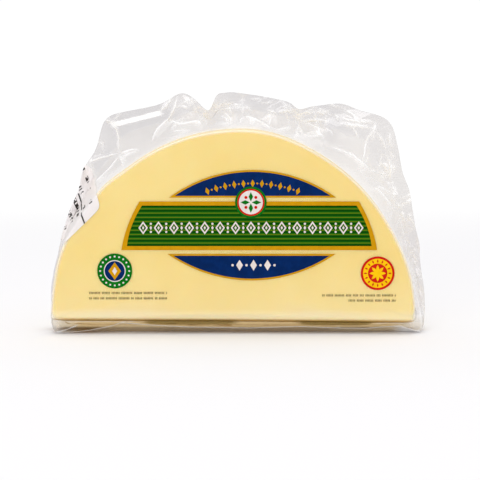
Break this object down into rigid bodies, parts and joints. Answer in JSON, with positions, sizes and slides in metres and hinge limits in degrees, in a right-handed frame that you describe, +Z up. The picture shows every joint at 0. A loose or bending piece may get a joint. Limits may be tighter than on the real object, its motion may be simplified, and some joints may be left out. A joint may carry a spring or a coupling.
{
  "type": "provolone cheese",
  "caption": "Half-moon slab of pale yellow cheese, vacuum-sealed in a clear crumpled bag with a printed front and a blank price sticker, standing on its cut edge.",
  "frame": {"origin": "middle of the base that the pack stands on, at table height", "axes": "+X to the right along the cut edge, +Y from the printed front to the plain back, +Z up"},
  "size_m": [0.1701, 0.0272, 0.1075],
  "materials": {
    "film": "clear gloss film drawn tight over pale yellow cheese",
    "sticker": "matte white paper",
    "ink_green": "dark green ink under gloss film",
    "ink_gold": "flat gold ink under gloss film",
    "ink_blue": "dark blue ink under gloss film",
    "ink_pale": "pale ink under gloss film",
    "ink_leaf": "mid green ink under gloss film",
    "ink_red": "red ink under gloss film"
  },
  "bodies": {
    "root": {"bag": "film", "price_sticker": "sticker", "print_band": "ink_green", "print_band_edge": "ink_gold", "print_upper": "ink_blue", "print_upper_edge": "ink_gold", "print_lower": "ink_blue", "print_lower_edge": "ink_gold", "seal_middle": "ink_pale", "seal_left": "ink_leaf", "seal_right": "ink_red"}
  },
  "joints": []
}
